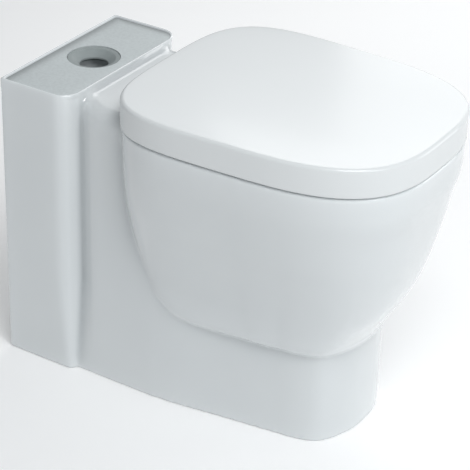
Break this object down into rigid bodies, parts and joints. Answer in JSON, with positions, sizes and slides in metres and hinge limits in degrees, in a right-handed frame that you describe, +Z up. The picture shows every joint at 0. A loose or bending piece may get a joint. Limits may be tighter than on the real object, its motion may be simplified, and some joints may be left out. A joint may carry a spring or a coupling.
{
  "type": "toilet pan with seat and lid",
  "caption": "Back-to-wall glazed toilet pan with a flat cistern seat behind the bowl, and a hinged seat under a wrap-over lid.",
  "frame": {"origin": "middle of the bounding box's bottom, on the floor", "axes": "+Z up, +Y towards the wall behind, +X to the right of someone who faces the pan's front"},
  "size_m": [0.354, 0.6054, 0.4652],
  "materials": {
    "glaze": "gloss white glaze",
    "thermoset": "gloss white",
    "chrome": "bright plated",
    "steel": "plain",
    "nylon": "moulded",
    "clear_rubber": "translucent white",
    "foam": "light grey closed-cell pad",
    "grey_rubber": "mid grey"
  },
  "bodies": {
    "base": {"pan": "glaze", "bowl": "glaze", "trapway": "glaze", "flush_way": "glaze", "outlet_spigot": "glaze", "hinge_base_left": "chrome", "hinge_pin_left": "steel", "hinge_gasket_left": "clear_rubber", "stud_left": "steel", "cone_washer_left": "clear_rubber", "flat_washer_left": "steel", "wing_nut_left": "nylon", "hinge_base_right": "chrome", "hinge_pin_right": "steel", "hinge_gasket_right": "clear_rubber", "stud_right": "steel", "cone_washer_right": "clear_rubber", "flat_washer_right": "steel", "wing_nut_right": "nylon", "cistern_gasket": "foam", "inlet_seal": "grey_rubber"},
    "lid": {"lid": "thermoset", "lid_buffer_rear_right": "clear_rubber", "lid_buffer_rear_left": "clear_rubber", "lid_buffer_front_right": "clear_rubber", "lid_buffer_front_left": "clear_rubber"},
    "seat": {"seat": "thermoset", "seat_buffer_rear_right": "clear_rubber", "seat_buffer_rear_left": "clear_rubber", "seat_buffer_front_right": "clear_rubber", "seat_buffer_front_left": "clear_rubber"}
  },
  "joints": [
    {"name": "lid_hinge", "type": "hinge", "parent": "base", "child": "lid", "pos_m": [0, 0.10325, 0.446], "axis": [-1, 0, 0], "range_deg": [0, 97]},
    {"name": "seat_hinge", "type": "hinge", "parent": "base", "child": "seat", "pos_m": [0, 0.10325, 0.446], "axis": [-1, 0, 0], "range_deg": [0, 92.2]}
  ],
  "couplings": [
    {"joint": "seat_hinge", "follows": "lid_hinge", "ratio": 0.95}
  ]
}
